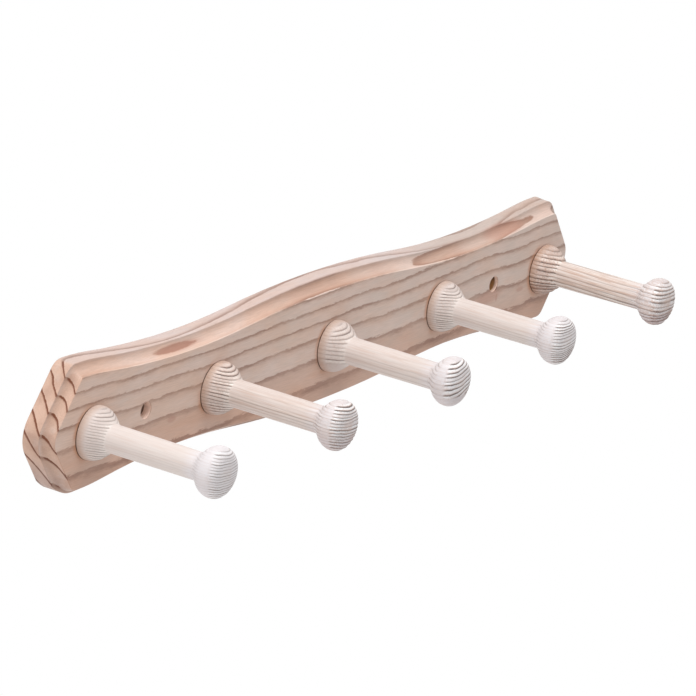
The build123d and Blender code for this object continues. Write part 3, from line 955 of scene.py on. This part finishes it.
def floor_material(studio):
    """A matt floor that the camera sees as white, and that is clear from below."""
    material, wiring, shader = new_material("pale_floor")
    place = wiring.add("ShaderNodeTexCoord").outputs["Object"]
    speckle = wiring.noise(place, scale=40.0, detail=3.0)
    tone = Vector(studio.floor_colour)
    colour = wiring.mix(wiring.ramp(speckle, 0.3, 0.7), tone, tone * 0.98)
    wiring.tree.links.new(colour, shader.inputs["Base Color"])
    shader.inputs["Roughness"].default_value = 0.9
    glow = wiring.add("ShaderNodeEmission", {"Color": opaque(WHITE), "Strength": 1.0}).outputs[0]
    lit = {0: seen_directly(wiring), 1: shader.outputs[0], 2: glow}
    lit = wiring.add("ShaderNodeMixShader", lit).outputs[0]
    below = wiring.add("ShaderNodeNewGeometry").outputs["Backfacing"]
    clear = wiring.add("ShaderNodeBsdfTransparent").outputs[0]
    both = wiring.add("ShaderNodeMixShader", {0: below, 1: lit, 2: clear}).outputs[0]
    wiring.tree.links.new(both, wiring.tree.nodes["Material Output"].inputs["Surface"])
    return material


def soft_lamp(context, name, place, width, power):
    """A square area lamp that faces the middle of the rail's back."""
    data = bpy.data.lights.new(name, "AREA")
    data.size = width
    data.energy = power
    lamp = bpy.data.objects.new(name, data)
    context.scene.collection.objects.link(lamp)
    lamp.location = place
    lamp.rotation_mode = "QUATERNION"
    lamp.rotation_quaternion = (-Vector(place)).to_track_quat("-Z", "Y")


def studio_world(context, studio):
    """Even light from all round, seen as white by the camera and in reflections."""
    world = bpy.data.worlds.new("studio_sky")
    world.use_nodes = True
    context.scene.world = world
    wiring = Wiring(world.node_tree)
    background = world.node_tree.nodes["Background"]
    background.inputs["Color"].default_value = opaque(WHITE)
    strength = wiring.ramp(seen_directly(wiring), 0.0, 1.0, studio.sky_strength, 1.0, shape="LINEAR")
    world.node_tree.links.new(strength, background.inputs["Strength"])


def studio_camera(context, studio):
    """A camera on a sphere round the point it looks at, rolled about its line of sight."""
    turn, rise, roll = studio.azimuth, studio.elevation, studio.roll
    back = Vector((math.sin(turn) * math.cos(rise), -math.cos(turn) * math.cos(rise), math.sin(rise)))
    level = Vector((0, 0, 1)).cross(back).normalized()
    upright = back.cross(level)
    right = level * math.cos(roll) + upright * math.sin(roll)
    up = upright * math.cos(roll) - level * math.sin(roll)
    data = bpy.data.cameras.new("camera")
    data.lens = studio.lens
    data.sensor_width = 36.0
    data.clip_end = 100.0
    camera = bpy.data.objects.new("camera", data)
    context.scene.collection.objects.link(camera)
    place = Vector(studio.look_at) + back * studio.distance
    camera.matrix_world = Matrix.Translation(place) @ Matrix((right, up, back)).transposed().to_4x4()
    context.scene.camera = camera


class PEGRAIL_OT_studio(bpy.types.Operator):
    """Set up the pale floor, the soft light and the camera"""
    bl_idname = "pegrail.studio"
    bl_label = "Set up the studio"

    def execute(self, context):
        studio = context.scene.peg_rail_studio
        floor_reach = 8.0
        floor_z = BOARD_LOW.z - studio.floor_drop
        corners = [
            (x * floor_reach, y * floor_reach, floor_z) for x, y in ((-1, -1), (1, -1), (1, 1), (-1, 1))]
        mesh = bpy.data.meshes.new("floor")
        mesh.from_pydata(corners, [], [(0, 1, 2, 3)])
        floor = bpy.data.objects.new("floor", mesh)
        context.scene.collection.objects.link(floor)
        floor.data.materials.append(floor_material(studio))
        soft_lamp(context, "key_light", KEY_PLACE, KEY_WIDTH, studio.key_power)
        soft_lamp(context, "fill_light", FILL_PLACE, FILL_WIDTH, studio.fill_power)
        studio_world(context, studio)
        studio_camera(context, studio)
        context.scene.view_settings.view_transform = "Standard"
        return {"FINISHED"}


# ---- add-on
class PEGRAIL_PT_panel(bpy.types.Panel):
    """The rail's finishes and its studio"""
    bl_label = "Peg Rail"
    bl_idname = "PEGRAIL_PT_panel"
    bl_space_type = "VIEW_3D"
    bl_region_type = "UI"
    bl_category = "Peg Rail"

    def draw(self, context):
        for operator, key, _ in STEPS:
            box = self.layout.box()
            box.operator(operator.bl_idname)
            settings = getattr(context.scene, key)
            for name in settings.bl_rna.properties.keys():
                if name not in ("name", "rna_type"):
                    box.prop(settings, name)


# Each operator, the scene's name for its settings, and their class.
STEPS = (
    (PEGRAIL_OT_board, "peg_rail_board", PegRailBoard),
    (PEGRAIL_OT_pegs, "peg_rail_pegs", PegRailPegs),
    (PEGRAIL_OT_screws, "peg_rail_screws", PegRailScrews),
    (PEGRAIL_OT_studio, "peg_rail_studio", PegRailStudio),
)


def register():
    for operator, key, group in STEPS:
        bpy.utils.register_class(group)
        setattr(bpy.types.Scene, key, PointerProperty(type=group))
        bpy.utils.register_class(operator)
    bpy.utils.register_class(PEGRAIL_PT_panel)


def unregister():
    bpy.utils.unregister_class(PEGRAIL_PT_panel)
    for operator, key, group in reversed(STEPS):
        bpy.utils.unregister_class(operator)
        delattr(bpy.types.Scene, key)
        bpy.utils.unregister_class(group)


def main():
    register()
    growth_ring_group()
    fibre_group()
    bpy.ops.pegrail.board()
    bpy.ops.pegrail.pegs()
    bpy.ops.pegrail.screws()
    bpy.ops.pegrail.studio()


if __name__ == "__main__":
    main()
